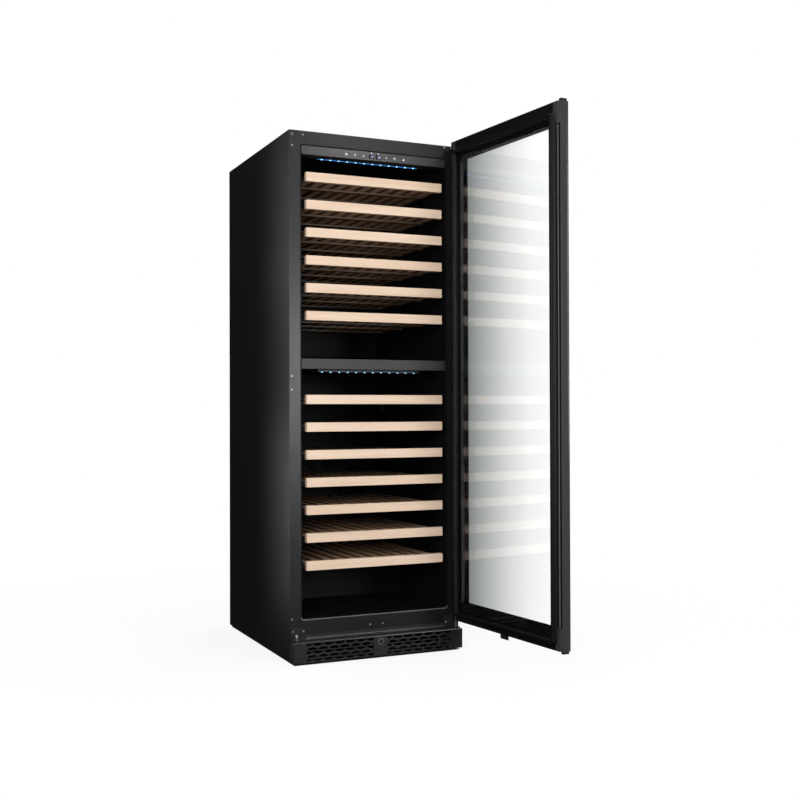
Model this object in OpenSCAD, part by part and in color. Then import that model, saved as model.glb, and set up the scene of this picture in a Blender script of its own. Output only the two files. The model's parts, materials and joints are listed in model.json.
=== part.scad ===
// Dual-zone wine cooler: insulated cabinet, glass door, thirteen beech shelves.
// Millimetres. +X is the viewer's right, the front faces -Y, +Z is up.
// The origin is at floor level under the middle of the cabinet.

/* [Cabinet] */
// Width over the side panels
cab_w = 595; // [590:1:600]
// Depth of the cabinet without its door
cab_d = 690; // [680:5:720]
// Height of the cabinet's top above the floor
cab_h = 1694; // [1690:1:1700]
// Clear height between the floor and the cabinet's underside
base_gap = 6; // [6:1:8]
// Thickness of the sheet-metal panels
sheet = 0.8; // [0.7:0.1:1]
// Width of the clear opening between the side strips of the face frame
open_w = 521; // [519:1:523]
// Height of the lower edge of the opening
open_z0 = 134; // [132:1:136]
// Height of the upper edge of the opening
open_z1 = 1652; // [1650:1:1653]
// Thickness of the plastic liners
liner_t = 2; // [1.5:0.5:2]

/* [Zones] */
// Height of the upper zone's floor
divider_z1 = 967; // [965:1:969]
// Height of the lower zone's ceiling
divider_z0 = 934; // [932:1:936]
// Depth of the two cavities behind the front face
cavity_d = 598; // [590:1:600]
// Depth of the lower zone's floor in front of the compressor step
floor_d = 380; // [370:5:385]
// Height of the compressor step's top
step_z = 280; // [270:1:282]

/* [Shelves] */
// Width of a shelf's front rail
shelf_w = 482; // [478:1:486]
// Depth of a shelf from its front face to its back end
shelf_d = 513; // [480:1:515]
// Distance a shelf's front face stands in front of the cabinet's face
shelf_out = 4; // [0:1:6]
// Height of a shelf's front rail
rail_h = 29.5; // [28:0.5:30]
// Distance between the shelves of the upper zone
pitch_upper = 88.8; // [88:0.1:89]
// Distance between the shelves of the lower zone
pitch_lower = 88.4; // [88:0.1:88.6]
// Height of the top of the uppermost shelf in the upper zone
shelf_top_upper = 1563; // [1560:1:1565]
// Height of the top of the uppermost shelf in the lower zone
shelf_top_lower = 851; // [849:1:853]
// Width of one slat
slat_w = 26; // [24:1:28]
// Distance between slats
slat_pitch = 43.5; // [42:0.5:43.5]

/* [Door] */
// Width of the door
door_w = 592; // [590:1:592]
// Height of the door's lower edge
door_z0 = 95.5; // [95:0.5:96]
// Height of the door's upper edge
door_z1 = 1706; // [1704:1:1707]
// Thickness of the door without its gasket
door_t = 34; // [33:1:35]
// Thickness of the gasket, which is the gap between door and cabinet
gasket_t = 16; // [16:0.5:17]
// Angle at which the door stands open at rest
door_open = 95; // [0:1:104]
// Thickness of the outer glass pane
outer_pane_t = 5; // [4:0.5:5]
// Thickness of the inner glass pane
inner_pane_t = 4; // [3:0.5:4]

/* [Kick plate] */
// Distance the kick plate stands in front of the cabinet's face
kick_out = 36; // [35:1:38]
// Height of the kick plate's upper edge
kick_z1 = 70.5; // [69:0.5:71]
// Number of slot rows in the grille
kick_rows = 5; // [4:1:5]

/* [Hidden] */

$fn = 48;
steel_black = [0.07, 0.07, 0.075];
plastic_black = [0.05, 0.05, 0.055];
zinc = [0.62, 0.63, 0.64];
beech = [0.86, 0.76, 0.64];

half_w = cab_w / 2;
front = -cab_d / 2;
rear = cab_d / 2;
gap = 0.2;
foam_front = front + 5;
frame_t = 1.5;
face_z0 = 88;

// Liners: inner half width, outer half width and the foam's inner face
liner_in = open_w / 2 - 3.5;
liner_out = liner_in + liner_t;
foam_in = liner_out + gap;
upper_in_z1 = open_z1 - 3;
lower_in_z0 = open_z0 + 3;
lip_out = open_w / 2 - 0.2;
lip_proud = 1;
lip_r = 9;
divider_mid = (divider_z0 + divider_z1) / 2;
divider_cover_y1 = front + 4.5;
foam_floor_z0 = 95;
comp_y0 = front + floor_d + liner_t + 35;
comp_z1 = step_z - liner_t - 35;
foam_skin = 0.8;
step_y0 = front + floor_d;

// Door pivot, which is also the joint's axis
pivot_x = 282;
pivot_y = front - 20;
door_in = front - gasket_t;
door_out = door_in - door_t;
glass_back = door_out + outer_pane_t;
door_h = door_z1 - door_z0;
door_half = door_w / 2;
stile_w = 29;
pane_half = door_half - 30;
pane_z0 = door_z0 + 28;
pane_z1 = door_z1 - 46;
pane_y1 = door_in - 4;
pane_y0 = pane_y1 - inner_pane_t;
spacer_half = door_half - 38;
spacer_w = 7;
spacer_z0 = pane_z0 + 26;
spacer_z1 = pane_z1 - 10;
gasket_half = door_half - 20;
gasket_w = 14;
gasket_z0 = 113;
gasket_z1 = 1671;
cap_proud = 7;

lock_z = 52;
lock_y0 = front - kick_out - 1.5;
cam_y0 = front - 26.5;
cam_t = 3;
hinge_pin_r = 4;
running = 0.05;
lug_z = 71.5;
top_lug_z = 1677;
wall = 2.5;

foot_x = 255;
foot_y = 300;
foot_stem_r = 5;

shelf_front = front - shelf_out;
rail_t = 18;
slat_drop = 10;
slat_t = 12;
runner_t = 10;
runner_drop = 15;
runner_out = liner_in - 3.4;
slat_count = 11;

duct_y = front + 538;
duct_t = 3;
fan_r = 52;
fan_shaft_r = 4;
fan_z_upper = 1310;
fan_z_lower = 620;
cond_fan_x = -75;
cond_fan_y = rear - 125;
cond_fan_z = 110;

module box(x0, x1, y0, y1, z0, z1) {
    translate([x0, y0, z0]) cube([x1 - x0, y1 - y0, z1 - z0]);
}

module both_sides() {
    children();
    mirror([1, 0, 0]) children();
}

// A cylinder along +Y that starts at y
module bar_y(x, y, z, r, len) {
    translate([x, y, z]) rotate([-90, 0, 0]) cylinder(r = r, h = len);
}

// A rectangle with rounded corners in the XZ plane, pushed back from y0 to y1
module rounded_slab(x0, x1, y0, y1, z0, z1, r) {
    translate([0, y1, 0]) rotate([90, 0, 0]) linear_extrude(height = y1 - y0)
        rounded_rect(x0, x1, z0, z1, r);
}

module rounded_rect(x0, x1, z0, z1, r) {
    union() {
        translate([x0 + r, z0]) square([x1 - x0 - 2 * r, z1 - z0]);
        translate([x0, z0 + r]) square([x1 - x0, z1 - z0 - 2 * r]);
        for (cx = [x0 + r, x1 - r]) for (cz = [z0 + r, z1 - r]) translate([cx, cz]) circle(r = r);
    }
}

// Everything on the door is drawn closed, then swung open about the hinge axis
module swung() {
    translate([pivot_x, pivot_y, 0]) rotate([0, 0, door_open]) translate([-pivot_x, -pivot_y, 0])
        children();
}

// ---- Cabinet ----

module side_panels() {
    color(steel_black) both_sides()
        box(half_w - sheet, half_w, front + frame_t + gap, rear, base_gap, cab_h - sheet - gap);
}

module top_panel() {
    color(steel_black) difference() {
        box(-half_w, half_w, front + frame_t + gap, rear, cab_h - sheet, cab_h);
        both_sides() translate([half_w, rear, cab_h - sheet - 1]) rotate([0, 0, 45])
            cube([8, 8, 10], center = true);
    }
}

module back_panel() {
    color(zinc) box(-half_w + sheet + gap, half_w - sheet - gap, rear - sheet, rear,
        comp_z1 + 4, cab_h - sheet - gap);
}

module rear_cover() {
    slot_w = 150;
    color(zinc) difference() {
        box(-half_w + sheet + gap, half_w - sheet - gap, rear - sheet, rear, 10, comp_z1 + 3);
        for (sx = [-195, 5]) for (k = [0 : 6])
            box(sx - slot_w / 2, sx + slot_w / 2, rear - 3, rear + 1, 45 + k * 22, 51 + k * 22);
        box(186, 214, rear - 3, rear + 1, 140, 164);
    }
}

module base_pan() {
    inner = half_w - sheet - gap;
    ledge_half = 243;
    ledge_z0 = kick_z1 + 2;
    ledge_h = 5.5;
    color(steel_black) difference() {
        union() {
            box(-inner, inner, front + 2, rear - sheet - gap, base_gap, base_gap + frame_t);
            box(-inner, inner, front + 2, front + 3.5, kick_z1 - 1, face_z0 - gap);
            box(-ledge_half, ledge_half, front - 4, front + 3.5, ledge_z0, ledge_z0 + ledge_h);
            both_sides() box(inner - 45, inner, front + 2, front + 3.5, base_gap, face_z0 - gap);
            both_sides() box(inner - 1.5, inner, front + 2, rear - 20, base_gap, base_gap + 30);
            both_sides() for (fy = [-foot_y, foot_y]) translate([foot_x, fy, base_gap])
                cylinder(r = 10, h = 24);
        }
        both_sides() for (fy = [-foot_y, foot_y]) translate([foot_x, fy, base_gap - 1])
            cylinder(r = foot_stem_r + running, h = 40);
    }
}

// Foam weighs little, so a slab is a closed skin that has the foam's weight
module foam_slab(x0, x1, y0, y1, z0, z1) {
    t = foam_skin;
    difference() {
        box(x0, x1, y0, y1, z0, z1);
        box(x0 + t, x1 - t, y0 + t, y1 - t, z0 + t, z1 - t);
    }
}

module insulation() {
    outer = half_w - sheet - gap;
    back_y0 = front + cavity_d + liner_t + gap;
    back_y1 = rear - sheet - gap;
    color([0.93, 0.88, 0.70]) union() {
        both_sides() foam_slab(foam_in, outer, foam_front, back_y1, comp_z1 + gap, cab_h - sheet - gap);
        both_sides() foam_slab(foam_in, outer, foam_front, comp_y0, foam_floor_z0, comp_z1);
        foam_slab(-liner_out, liner_out, foam_front, back_y1, open_z1 + gap, cab_h - sheet - gap);
        foam_slab(-liner_out, liner_out, back_y0, back_y1, comp_z1, open_z1);
        foam_slab(-liner_out, liner_out, foam_front, back_y0 - gap,
            divider_z0 + liner_t + gap, divider_z1 - liner_t - gap);
        foam_slab(-liner_out, liner_out, foam_front, comp_y0,
            foam_floor_z0, lower_in_z0 - liner_t - gap);
        foam_slab(-liner_out, liner_out, step_y0 + liner_t + gap, comp_y0,
            lower_in_z0 - liner_t, step_z - liner_t - gap);
        foam_slab(-liner_out, liner_out, comp_y0 + gap, back_y0 - gap,
            comp_z1, step_z - liner_t - gap);
    }
}

// A liner's open-fronted shell: rounded at the back, with a raised lip round the opening
module liner_upper() {
    y1 = front + cavity_d;
    color(plastic_black) difference() {
        union() {
            box(-liner_out, liner_out, front + frame_t + gap, y1 + liner_t,
                divider_z1 - liner_t, upper_in_z1 + liner_t);
            rounded_slab(-lip_out, lip_out, front - lip_proud, front + frame_t + gap + 1,
                divider_mid + gap / 2, open_z1 - 0.2, lip_r);
        }
        rounded_slab(-liner_in, liner_in, front - 10, y1, divider_z1, upper_in_z1, 7);
        box(-liner_in, liner_in, front - 10, divider_cover_y1 + gap, divider_mid - 1, divider_z1 + 12);
    }
}

module liner_lower() {
    y1 = front + cavity_d;
    color(plastic_black) difference() {
        union() {
            box(-liner_out, liner_out, front + frame_t + gap, y1 + liner_t,
                step_z - liner_t, divider_z0 + liner_t);
            box(-liner_out, liner_out, front + frame_t + gap, step_y0 + liner_t,
                lower_in_z0 - liner_t, step_z);
            rounded_slab(-lip_out, lip_out, front - lip_proud, front + frame_t + gap + 1,
                open_z0 + 0.2, divider_mid - gap / 2, lip_r);
        }
        rounded_slab(-liner_in, liner_in, front - 10, step_y0, lower_in_z0, divider_z0, 7);
        box(-liner_in, liner_in, step_y0 - 30, y1, step_z, divider_z0);
        box(-liner_in, liner_in, front - 10, divider_cover_y1 + gap, divider_z0 - 12, divider_mid + 1);
    }
}

// The part of a square corner at the origin, facing -X and -Y, that lies outside its rounding
module corner_fillet(r) {
    difference() {
        translate([-r, -r]) square([r, r + 0.3]);
        translate([-r, -r]) circle(r = r);
    }
}

// Four mitred strips with a hairline between them, and rounded corners to the opening
module face_frame() {
    in = open_w / 2;
    cut = 0.12;
    color(steel_black) translate([0, front + frame_t, 0]) rotate([90, 0, 0])
        linear_extrude(height = frame_t) {
            polygon([[-half_w + cut, cab_h], [half_w - cut, cab_h],
                [in - cut, open_z1], [-in + cut, open_z1]]);
            for (s = [-1, 1]) polygon([[s * half_w, kick_z1 + 1.5], [s * half_w, cab_h - cut],
                [s * in, open_z1 - cut], [s * in, kick_z1 + 1.5]]);
            polygon([[-in + cut, face_z0], [in - cut, face_z0],
                [in - cut, open_z0], [-in + cut, open_z0]]);
            for (s = [-1, 1]) {
                translate([s * (in - cut), open_z1]) scale([s, 1]) corner_fillet(lip_r);
                translate([s * (in - cut), open_z0]) scale([s, -1]) corner_fillet(lip_r);
            }
        }
}

module divider_cover() {
    in = liner_in - 0.3;
    color([0.2, 0.2, 0.21]) union() {
        box(-in, in, front + 0.5, front + 2.5, divider_z0, divider_z1);
        box(-in, in, front + 2.5, divider_cover_y1, divider_z0, divider_z0 + 1.2);
        box(-in, in, front + 2.5, divider_cover_y1, divider_z1 - 1.2, divider_z1);
    }
}

module control_panel() {
    z0 = 1620;
    z1 = upper_in_z1 - 1;
    half = liner_in - 1;
    color([0.13, 0.13, 0.14]) difference() {
        rounded_slab(-half, half, front + 1, front + 48, z0, z1, 6);
        box(-half + wall, half - wall, front + 1 + wall, front + 49, z0 + wall, z1 - wall);
        for (wx = [-12.5, 12.5]) box(wx - 9.2, wx + 9.2, front, front + 1.8, 1625, 1640);
    }
}

module display_windows() {
    color([0.3, 0.28, 0.5]) for (wx = [-12.5, 12.5])
        box(wx - 9, wx + 9, front + 1.1, front + 1.8, 1625.2, 1639.8);
}

// One light bar: a channel with twelve lenses on its underside
module led_bar(z1) {
    body_h = 7;
    union() {
        box(-182, 182, front + 52, front + 68, z1 - body_h, z1);
        for (k = [0 : 11]) translate([-165 + k * 30, front + 60, z1 - body_h - 2])
            cylinder(r = 3.2, h = 2.5);
    }
}

module led_bars() {
    color([0.25, 0.5, 0.95]) union() {
        led_bar(upper_in_z1 - 20);
        led_bar(divider_z0);
        both_sides() box(150, 156, front + 57, front + 63, upper_in_z1 - 20, upper_in_z1);
    }
}

function shelf_top(n) = n <= 6
    ? shelf_top_upper - (n - 1) * pitch_upper
    : shelf_top_lower - (n - 7) * pitch_lower;

// A channel on each liner wall, which a shelf's runner slides in
module shelf_rail(n) {
    clear = 0.3;
    z1 = shelf_top(n) - runner_drop + clear;
    z0 = z1 - runner_t - 2 * clear;
    flange = 1.4;
    x1 = liner_in - 0.1;
    web = 3;
    both_sides() union() {
        box(x1 - web, x1, front + 24, front + 520, z0 - flange, z1 + flange);
        box(x1 - 12, x1 - web, front + 24, front + 520, z0 - flange, z0);
        box(x1 - 12, x1 - web, front + 24, front + 520, z1, z1 + flange);
    }
}

module shelf_rails() {
    color([0.16, 0.16, 0.17]) for (n = [1 : 13]) shelf_rail(n);
}

// Beech shelf: front rail, cross bars, front-to-back slats, side boards and a runner on each side
module shelf(n) {
    top = shelf_top(n);
    half = shelf_w / 2;
    y0 = shelf_front + rail_t + gap;
    y1 = shelf_front + shelf_d;
    slat_z1 = top - slat_drop;
    slat_z0 = slat_z1 - slat_t;
    slat_out = slat_pitch * (slat_count - 1) / 2 + slat_w / 2;
    board_out = half - 3;
    bar_z0 = slat_z0 - 7;
    color(beech) union() {
        box(-half, half, shelf_front, shelf_front + rail_t, top - rail_h, top);
        for (k = [0 : slat_count - 1]) let (x = (k - (slat_count - 1) / 2) * slat_pitch)
            box(x - slat_w / 2, x + slat_w / 2, y0, y1, slat_z0 + gap, slat_z1);
        for (by = [y0 + 110, (y0 + y1) / 2 + 30, y1 - 40])
            box(-slat_out, slat_out, by, by + 22, bar_z0, slat_z0);
        both_sides() box(slat_out + gap, board_out, y0, y1, slat_z0, slat_z1);
        both_sides() box(board_out + gap, runner_out, y0, y1,
            top - runner_drop - runner_t, top - runner_drop);
    }
}

// ---- Air handling ----

module duct_cover(z0, z1, fan_z) {
    half = 235;
    difference() {
        union() {
            box(-half, half, duct_y, duct_y + duct_t, z0, z1);
            both_sides() box(half - duct_t, half, duct_y, front + cavity_d, z0, z1);
            box(-half, half, duct_y, front + cavity_d, z1 - duct_t, z1);
            bar_y(0, duct_y, fan_z, 11, 6);
            bar_y(0, duct_y, fan_z, fan_shaft_r, 26);
        }
        for (k = [-4 : 4]) let (x = k * 11, s = sqrt(fan_r * fan_r - x * x) - 2)
            if (abs(k) > 0) {
                box(x - 3, x + 3, duct_y - 1, duct_y + duct_t + 1, fan_z + 2, fan_z + s);
                box(x - 3, x + 3, duct_y - 1, duct_y + duct_t + 1, fan_z - s, fan_z - 2);
            }
        for (sx = [-150, 150]) for (k = [0 : 4])
            box(sx - 45, sx + 45, duct_y - 1, duct_y + duct_t + 1, z0 + 25 + k * 14, z0 + 31 + k * 14);
    }
}

module air_duct_upper() {
    color([0.1, 0.1, 0.105]) duct_cover(1000, 1600, fan_z_upper);
}

module air_duct_lower() {
    color([0.1, 0.1, 0.105]) duct_cover(310, 900, fan_z_lower);
}

// Seven-blade axial rotor with its axle bore along Y
module fan_rotor(r, hub, depth) {
    rotate([-90, 0, 0]) difference() {
        union() {
            cylinder(r = hub, h = depth);
            for (k = [0 : 6]) rotate([0, 0, k * 360 / 7]) translate([hub - 2, 0, depth / 2])
                rotate([32, 0, 0]) translate([0, -depth * 0.75, -1])
                    cube([r - hub + 1, depth * 1.3, 2]);
        }
        translate([0, 0, -1]) cylinder(r = fan_shaft_r + running, h = depth + 2);
    }
}

module fan_rotor_upper() {
    color([0.2, 0.2, 0.2]) translate([0, duct_y + 8, fan_z_upper]) fan_rotor(fan_r - 4, 16, 14);
}

module fan_rotor_lower() {
    color([0.2, 0.2, 0.2]) translate([0, duct_y + 8, fan_z_lower]) fan_rotor(fan_r - 4, 16, 14);
}

// Finned coil: straight tubes through a row of fins
module evaporator(z0) {
    y0 = duct_y + 34;
    fins = 20;
    union() {
        for (k = [0 : fins - 1])
            box(-170 + k * 17.5, -169.2 + k * 17.5, y0, y0 + 22, z0, z0 + 150);
        for (k = [0 : 5]) translate([-185, y0 + 11, z0 + 12 + k * 25]) rotate([0, 90, 0])
            cylinder(r = 4, h = 370);
    }
}

module evaporators() {
    color([0.75, 0.76, 0.78]) union() {
        evaporator(1410);
        evaporator(720);
    }
}

module temperature_sensors() {
    color([0.8, 0.8, 0.78]) for (z = [1500, 800])
        translate([liner_in - 4, front + 528, z]) cylinder(r = 4, h = 30);
}

// ---- Machine compartment ----

module compressor() {
    x = 150;
    y = rear - 130;
    color([0.09, 0.09, 0.09]) union() {
        difference() {
            translate([x, y, 30]) rotate_extrude() polygon(concat([[0, 0], [62, 0]],
                [for (a = [0 : 10 : 90]) [70 + 8 * sin(a), 10 - 8 * cos(a)]],
                [for (a = [0 : 10 : 90]) [78 * cos(a), 110 + 55 * sin(a)]]));
            translate([x, y, 45]) cylinder(r = 70, h = 110);
        }
        box(x - 100, x + 100, y - 70, y + 70, 26, 30);
        for (sx = [-85, 85]) for (sy = [-55, 55]) translate([x + sx, y + sy, base_gap + frame_t])
            cylinder(r = 11, h = 26 - base_gap - frame_t);
    }
}

module condenser() {
    x0 = -270;
    fins = 18;
    color([0.12, 0.12, 0.12]) union() {
        for (k = [0 : fins - 1])
            box(x0, x0 + 120, rear - 230 + k * 11, rear - 229.2 + k * 11, 30, 200);
        for (k = [0 : 5]) for (j = [0 : 2])
            bar_y(x0 + 25 + j * 35, rear - 240, 50 + k * 26, 4, 210);
        box(x0, x0 + 120, rear - 240, rear - 238, base_gap + frame_t, 205);
    }
}

module fan_shroud() {
    x = cond_fan_x;
    color(plastic_black) union() {
        difference() {
            box(x - 12, x + 12, cond_fan_y - 75, cond_fan_y + 75, base_gap + frame_t, 190);
            translate([x - 20, cond_fan_y, cond_fan_z]) rotate([0, 90, 0]) cylinder(r = 68, h = 40);
        }
        difference() {
            for (a = [0, 60, 120]) translate([x - 10.5, cond_fan_y, cond_fan_z])
                rotate([a, 0, 0]) cube([3, 8, 140], center = true);
            translate([x - 20, cond_fan_y, cond_fan_z]) rotate([0, 90, 0]) cylinder(r = 12, h = 40);
        }
        translate([x - 12, cond_fan_y, cond_fan_z]) rotate([0, 90, 0]) cylinder(r = 14, h = 4);
        translate([x - 12, cond_fan_y, cond_fan_z]) rotate([0, 90, 0])
            cylinder(r = fan_shaft_r, h = 24);
    }
}

module fan_rotor_condenser() {
    color([0.15, 0.15, 0.15]) translate([cond_fan_x - 6, cond_fan_y, cond_fan_z])
        rotate([0, 0, -90]) fan_rotor(64, 20, 15);
}

module drip_tray() {
    color([0.15, 0.15, 0.16]) difference() {
        box(60, 240, rear - 220, rear - 40, 204, 232);
        box(62, 238, rear - 218, rear - 42, 206, 240);
    }
}

// Straight copper runs joined by balls at their bends
module pipe(points, r) {
    for (k = [0 : len(points) - 2]) let (a = points[k], b = points[k + 1], d = b - a) {
        translate(a) rotate([0, acos(d[2] / norm(d)), atan2(d[1], d[0])])
            cylinder(r = r, h = norm(d), $fn = 24);
        translate(a) sphere(r = r, $fn = 24);
    }
}

module refrigerant_lines() {
    y = rear - 30;
    color([0.72, 0.45, 0.28]) union() {
        pipe([[40, y, 60], [40, y, 215], [-20, y, 215], [-20, y, 100], [-20, y, 30]], 4);
        pipe([[-20, y, 30], [-100, y, 30], [-100, y, 215], [-140, y, 215]], 4);
        translate([-20, y, 120]) cylinder(r = 11, h = 70);
    }
}

module electronics_box() {
    color([0.8, 0.8, 0.78]) box(235, 285, rear - 260, rear - 215, 60, 190);
}

// Three-pole appliance inlet set into the rear cover
module power_inlet() {
    color([0.06, 0.06, 0.06]) difference() {
        union() {
            box(186.5, 213.5, rear - 18, rear + 0, 140.5, 163.5);
            box(180, 220, rear, rear + 2, 134, 170);
        }
        box(189, 211, rear - 14, rear + 3, 143.5, 160.5);
    }
}

// ---- Kick plate and lock ----

// A slot with blunt ends, one straight side and one bowed side; up is 1 or -1
module bow_slot(w, h, up) {
    steps = 8;
    end_h = 3.6;
    polygon(concat(
        [for (k = [0 : steps]) let (t = -1 + 2 * k / steps)
            [t * w / 2, up * (end_h + (h - end_h) * (1 - t * t) - h / 2)]],
        [[w / 2, -up * h / 2], [-w / 2, -up * h / 2]]));
}

module grille_field(x0, x1) {
    period = 37;
    row_h = 12;
    slot_w = 32.5;
    slot_h = 8.4;
    intersection() {
        translate([x0, 8]) square([x1 - x0, 60]);
        for (row = [0 : kick_rows - 1]) let (odd = row % 2, z = 62 - row * row_h)
            for (k = [0 : 7]) translate([x0 + (k + odd / 2) * period, z])
                bow_slot(slot_w, slot_h, odd == 0 ? -1 : 1);
    }
}

module kick_grille() {
    y0 = front - kick_out;
    color([0.1, 0.1, 0.105]) difference() {
        box(-half_w, half_w, y0, front - gap, base_gap, kick_z1);
        box(-half_w + wall, half_w - wall, y0 + wall, front + 1, base_gap - 1, kick_z1 - wall);
        translate([0, y0 + wall + 1, 0]) rotate([90, 0, 0]) linear_extrude(height = wall + 2) {
            grille_field(-254, -24);
            grille_field(24, 254);
        }
        bar_y(0, y0 - 1, lock_z, 10 + running, wall + 2);
        box(-9, 43, cam_y0 - 1.5, cam_y0 + cam_t + 1, kick_z1 - 5, kick_z1 + 1);
    }
}

// Round lock barrel with its keyway, carried in the kick plate
module lock_cylinder() {
    color([0.12, 0.12, 0.12]) difference() {
        union() {
            bar_y(0, lock_y0, lock_z, 10, cam_y0 - lock_y0);
            bar_y(0, lock_y0 - 0.5, lock_z, 8.5, 0.5);
        }
        box(-0.8, 0.8, lock_y0 - 1, lock_y0 + 6, lock_z - 4, lock_z + 4);
    }
}

module lock_cam() {
    color(zinc) union() {
        bar_y(0, cam_y0, lock_z, 9, cam_t);
        box(0, 38, cam_y0, cam_y0 + cam_t, lock_z - 6, lock_z + 6);
    }
}

// ---- Hinges ----

// Screwed plate with a forward lug that carries a collar and a vertical pin
module hinge_bracket(collar_z1, pin_z1) {
    union() {
        box(247, 296, front - 3, front, lug_z, 111);
        box(pivot_x - 13, pivot_x + 13, pivot_y, front - 3, lug_z, lug_z + 4);
        translate([pivot_x, pivot_y, lug_z]) cylinder(r = 13, h = 4);
        translate([pivot_x, pivot_y, lug_z]) cylinder(r = 8, h = collar_z1 - lug_z);
        translate([pivot_x, pivot_y, lug_z]) cylinder(r = hinge_pin_r, h = pin_z1 - lug_z);
    }
}

module hinge_brackets() {
    color([0.2, 0.2, 0.21]) union() {
        hinge_bracket(door_z0 - 2.5, 110);
        mirror([1, 0, 0]) hinge_bracket(door_z0 - 8.5, door_z0 - 1.5);
    }
}

module upper_hinge_bracket() {
    color([0.2, 0.2, 0.21]) union() {
        box(247, 296, front - 3, front, 1674, 1693);
        box(pivot_x - 13, pivot_x + 13, pivot_y, front - 3, top_lug_z, top_lug_z + 4);
        translate([pivot_x, pivot_y, top_lug_z]) cylinder(r = 13, h = 4);
        translate([pivot_x, pivot_y, top_lug_z]) cylinder(r = hinge_pin_r, h = 24);
    }
}

// Pan-head screw on a face at y, with a cross recess
module screw_head(x, y, z) {
    translate([x, y, z]) rotate([90, 0, 0]) difference() {
        union() {
            cylinder(r = 3, h = 0.8);
            translate([0, 0, 0.8]) cylinder(r1 = 3, r2 = 2, h = 0.7);
        }
        for (a = [0, 90]) rotate([0, 0, a]) translate([-1.5, -0.4, 0.7]) cube([3, 0.8, 2]);
    }
}

module frame_screws() {
    rear_screw_z = [20, 234, 258, 614, 970, 1326, 1683];
    color([0.5, 0.5, 0.5]) union() {
        for (p = [[-287, 1680], [-251, 1681], [-287, 1645], [-290, 910], [-290, 867],
            [-290, 140], [-22, 103], [22, 103], [287, 1645], [290, 910], [290, 867], [290, 140]])
            screw_head(p[0], front, p[1]);
        for (x = [253, 289]) screw_head(x, front - 3, 89);
        for (x = [-289, -253]) screw_head(x, front - 3, 101);
        for (x = [253, 279]) screw_head(x, front - 3, 1687);
        mirror([0, 1, 0]) for (z = rear_screw_z) for (x = [-289, 289]) screw_head(x, front, z);
    }
}

// ---- Feet ----

module foot(x, y) {
    color([0.12, 0.12, 0.12]) translate([x, y, 0]) union() {
        cylinder(r1 = 20, r2 = 22, h = 2);
        translate([0, 0, 2]) cylinder(r = 22, h = 3);
        cylinder(r = foot_stem_r, h = 28);
    }
}

module foot_front_left() { foot(-foot_x, -foot_y); }
module foot_front_right() { foot(foot_x, -foot_y); }
module foot_rear_left() { foot(-foot_x, foot_y); }
module foot_rear_right() { foot(foot_x, foot_y); }

// ---- Door ----

module bush_holes() {
    translate([pivot_x, pivot_y, door_z0 - 1]) cylinder(r = 7, h = 19);
    translate([pivot_x, pivot_y, 1684]) cylinder(r = 7, h = 20);
}

// Hinge stile and two rails, each with a bead over the inner pane
module door_frame() {
    rail_out = door_half - stile_w - gap;
    bead = 4;
    color(plastic_black) swung() difference() {
        union() {
            box(door_half - stile_w, door_half, glass_back + gap, door_in, door_z0, door_z1);
            box(pane_half - 3, door_half - stile_w, door_in - bead + gap, door_in,
                pane_z0 + 6, pane_z1 - 6);
            box(-rail_out, rail_out, glass_back + gap, door_in, door_z0, pane_z0 - gap);
            box(-rail_out + 6, rail_out - 6, door_in - bead + gap, door_in, pane_z0 - 2, pane_z0 + 3);
            box(-rail_out, rail_out, glass_back + gap, door_in, pane_z1 + gap, door_z1);
            box(-rail_out + 6, rail_out - 6, door_in - bead + gap, door_in, pane_z1 - 3, pane_z1 + 2);
        }
        bush_holes();
        box(pivot_x - 15, door_half + 1, door_in - 22, door_in + 1, 1672, 1684);
    }
}

// Free-edge stile with a full-height finger scoop behind it
module handle_profile() {
    x0 = -door_half;
    y0 = glass_back + gap;
    scoop_z0 = 160;
    scoop_z1 = 1640;
    color(plastic_black) swung() difference() {
        union() {
            box(x0, x0 + stile_w, y0, door_in - 5, door_z0, door_z1);
            box(x0 + 6, x0 + stile_w, y0, door_in, door_z0, door_z1);
            box(x0 + stile_w, -pane_half + 3, door_in - 3.8, door_in, pane_z0 + 6, pane_z1 - 6);
        }
        translate([x0 + 11, door_in - 1, scoop_z0]) cylinder(r = 9, h = scoop_z1 - scoop_z0);
    }
}

module handle_caps() {
    x0 = -door_half;
    y0 = glass_back + gap;
    color(plastic_black) swung() for (z = [door_z0 - cap_proud, door_z1])
        translate([0, 0, z]) linear_extrude(height = cap_proud)
            translate([x0, y0]) union() {
                translate([0, 0]) square([14, 17]);
                translate([0, 0]) square([8, 22]);
                translate([8, 17]) circle(r = 5);
            }
}

module glass_outer() {
    color([0.1, 0.1, 0.1, 0.5]) swung()
        box(-door_half, door_half, door_out, glass_back, door_z0, door_z1);
}

module glass_inner() {
    color([0.6, 0.65, 0.65, 0.4]) swung()
        box(-pane_half, pane_half, pane_y0, pane_y1, pane_z0, pane_z1);
}

module glass_spacer() {
    out = spacer_half + spacer_w;
    y0 = glass_back + gap;
    y1 = pane_y0 - gap;
    color([0.6, 0.6, 0.6]) swung() {
        for (s = [-1, 1]) box(min(s * spacer_half, s * out), max(s * spacer_half, s * out),
            y0, y1, spacer_z0 - spacer_w, spacer_z1 + spacer_w);
        for (z = [spacer_z0 - spacer_w, spacer_z1])
            box(-spacer_half + gap, spacer_half - gap, y0, y1, z, z + spacer_w);
    }
}

// Magnetic gasket: a flat base with a hollow bellows in front of it, mitred at the corners
module gasket_section() {
    difference() {
        union() {
            square([gasket_w, 4]);
            translate([1.5, 3]) square([gasket_w - 3, gasket_t - 3.4]);
        }
        translate([3, 5]) square([gasket_w - 6, 5]);
    }
}

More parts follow.
